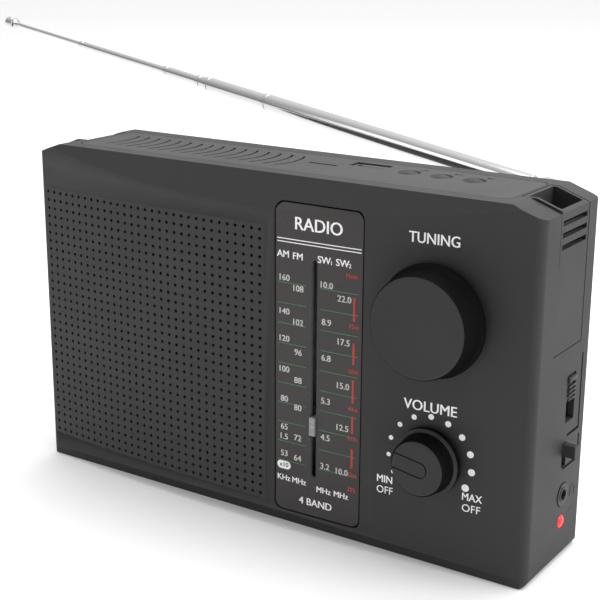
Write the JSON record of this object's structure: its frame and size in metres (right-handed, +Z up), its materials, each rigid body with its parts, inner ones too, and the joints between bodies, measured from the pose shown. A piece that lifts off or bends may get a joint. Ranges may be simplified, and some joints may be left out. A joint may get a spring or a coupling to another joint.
{
  "type": "portable shortwave receiver",
  "caption": "Portable band receiver: bowed front with speaker grille, slide-rule dial, tuning and volume knobs, top play buttons, side switches and a telescopic aerial.",
  "frame": {"origin": "middle of the flat bottom that the cabinet rests on", "axes": "+X to the listener's right, +Y from the front to the back, +Z up"},
  "size_m": [0.3535, 0.1419, 0.1614],
  "materials": {
    "shell": "fine matt texture",
    "knob": "satin",
    "lens": "glossy printed",
    "panel": "fine matt texture",
    "steel": "plain",
    "chrome": "polished",
    "board": "solder mask",
    "parts": "mixed",
    "paper": "felted",
    "magnet": "plain",
    "ferrite": "sintered",
    "copper": "enamelled wire",
    "white": "moulded",
    "grey": "moulded",
    "cell": "sleeve",
    "cord": "braided",
    "black": "moulded",
    "red": "clear lens"
  },
  "bodies": {
    "cabinet": {"front_shell": "shell", "speaker_grille": "shell", "dial_lens": "lens", "top_panel": "panel", "rear_shell": "shell", "strap_bracket_left": "shell", "strap_bracket_right": "shell", "battery_cells": "cell", "battery_contacts": "steel", "battery_springs": "steel", "case_screws": "steel", "speaker_basket": "steel", "speaker_cone": "paper", "speaker_magnet": "magnet", "speaker_screws": "steel", "main_board": "board", "board_components": "parts", "board_screws": "steel", "side_board": "board", "media_board": "board", "ferrite_rod": "ferrite", "ferrite_coil": "copper", "rod_holders": "white", "tuning_capacitor": "white", "dial_backplate": "grey", "dial_cord": "cord", "volume_control": "steel", "usb_socket": "steel", "card_socket": "steel", "button_switches": "black", "band_switch": "steel", "mode_switch": "steel", "headphone_socket": "black", "power_light": "red", "aerial_mount": "chrome"},
    "tuning": {"tuning_knob": "knob", "tuning_shaft": "steel", "tuning_drum": "white"},
    "pointer": {"dial_pointer": "white"},
    "pulley_top": {"pulley_top": "white"},
    "pulley_bottom": {"pulley_bottom": "white"},
    "pulley_side": {"pulley_side": "white"},
    "volume": {"volume_knob": "knob", "volume_shaft": "steel"},
    "button_previous": {"button_previous": "shell"},
    "button_play": {"button_play": "shell"},
    "button_next": {"button_next": "shell"},
    "band_slider": {"band_slider": "knob"},
    "mode_slider": {"mode_slider": "knob"},
    "battery_door": {"battery_door": "shell"},
    "aerial_swivel": {"aerial_swivel": "chrome", "aerial_pin": "chrome"},
    "aerial_tube_1": {"aerial_tube_1": "chrome"},
    "aerial_tube_2": {"aerial_tube_2": "chrome"},
    "aerial_tube_3": {"aerial_tube_3": "chrome"},
    "aerial_tube_4": {"aerial_tube_4": "chrome"},
    "aerial_tube_5": {"aerial_tube_5": "chrome"},
    "aerial_rod": {"aerial_rod": "chrome"}
  },
  "joints": [
    {"name": "tuning_turn", "type": "hinge", "parent": "cabinet", "child": "tuning", "pos_m": [0.0705, -0.03, 0.088], "axis": [0, 1, 0], "range_deg": [-38.57, 141.43]},
    {"name": "pointer_slide", "type": "slide", "parent": "cabinet", "child": "pointer", "axis": [0, 0, 1], "range_m": [-0.015, 0.055]},
    {"name": "pulley_top_turn", "type": "hinge", "parent": "cabinet", "child": "pulley_top", "pos_m": [0.0294, -0.01877, 0.10628], "axis": [0, 1, 0], "range_deg": [-214.87, 787.83]},
    {"name": "pulley_bottom_turn", "type": "hinge", "parent": "cabinet", "child": "pulley_bottom", "pos_m": [0.0294, -0.01877, 0.01718], "axis": [0, 1, 0], "range_deg": [-214.87, 787.83]},
    {"name": "pulley_side_turn", "type": "hinge", "parent": "cabinet", "child": "pulley_side", "pos_m": [0.0374, -0.01877, 0.06172], "axis": [0, 1, 0], "range_deg": [-787.83, 214.87]},
    {"name": "volume_turn", "type": "hinge", "parent": "cabinet", "child": "volume", "pos_m": [0.0705, -0.03, 0.0395], "axis": [0, 1, 0], "range_deg": [-54, 210]},
    {"name": "button_previous_press", "type": "slide", "parent": "cabinet", "child": "button_previous", "axis": [0, 0, -1], "range_m": [0, 0.0008], "stiffness_N_per_m": 400},
    {"name": "button_play_press", "type": "slide", "parent": "cabinet", "child": "button_play", "axis": [0, 0, -1], "range_m": [0, 0.0008], "stiffness_N_per_m": 400},
    {"name": "button_next_press", "type": "slide", "parent": "cabinet", "child": "button_next", "axis": [0, 0, -1], "range_m": [0, 0.0008], "stiffness_N_per_m": 400},
    {"name": "band_slide", "type": "slide", "parent": "cabinet", "child": "band_slider", "axis": [0, 0, 1], "range_m": [-0.0066, 0]},
    {"name": "mode_slide", "type": "slide", "parent": "cabinet", "child": "mode_slider", "axis": [0, 0, 1], "range_m": [-0.0038, 0]},
    {"name": "battery_door_hinge", "type": "hinge", "parent": "cabinet", "child": "battery_door", "pos_m": [-0.0375, 0.0206, 0.00745], "axis": [-1, 0, 0], "range_deg": [0, 95]},
    {"name": "aerial_swivel_turn", "type": "hinge", "parent": "cabinet", "child": "aerial_swivel", "pos_m": [0.084, 0.0311, 0.122], "axis": [0, 1, 0], "range_deg": [-6.4, 173.6]},
    {"name": "aerial_tilt", "type": "hinge", "parent": "aerial_swivel", "child": "aerial_tube_1", "pos_m": [0.084, 0.0311, 0.122], "axis": [-0.1115, 0, -0.9938], "range_deg": [-12, 75]},
    {"name": "aerial_pull_2", "type": "slide", "parent": "aerial_tube_1", "child": "aerial_tube_2", "axis": [-0.9721, 0.2079, 0.109], "range_m": [-0.037, 0.085]},
    {"name": "aerial_pull_3", "type": "slide", "parent": "aerial_tube_2", "child": "aerial_tube_3", "axis": [-0.9721, 0.2079, 0.109], "range_m": [-0.006, 0.113]},
    {"name": "aerial_pull_4", "type": "slide", "parent": "aerial_tube_3", "child": "aerial_tube_4", "axis": [-0.9721, 0.2079, 0.109], "range_m": [-0.023, 0.093]},
    {"name": "aerial_pull_5", "type": "slide", "parent": "aerial_tube_4", "child": "aerial_tube_5", "axis": [-0.9721, 0.2079, 0.109], "range_m": [-0.064, 0.049]},
    {"name": "aerial_pull_6", "type": "slide", "parent": "aerial_tube_5", "child": "aerial_rod", "axis": [-0.9721, 0.2079, 0.109], "range_m": [-0.055, 0.055]}
  ],
  "couplings": [
    {"joint": "pointer_slide", "follows": "tuning_turn", "m_per_rad": 0.022282},
    {"joint": "pulley_top_turn", "follows": "tuning_turn", "ratio": 5.5704},
    {"joint": "pulley_bottom_turn", "follows": "tuning_turn", "ratio": 5.5704},
    {"joint": "pulley_side_turn", "follows": "tuning_turn", "ratio": -5.5704}
  ]
}
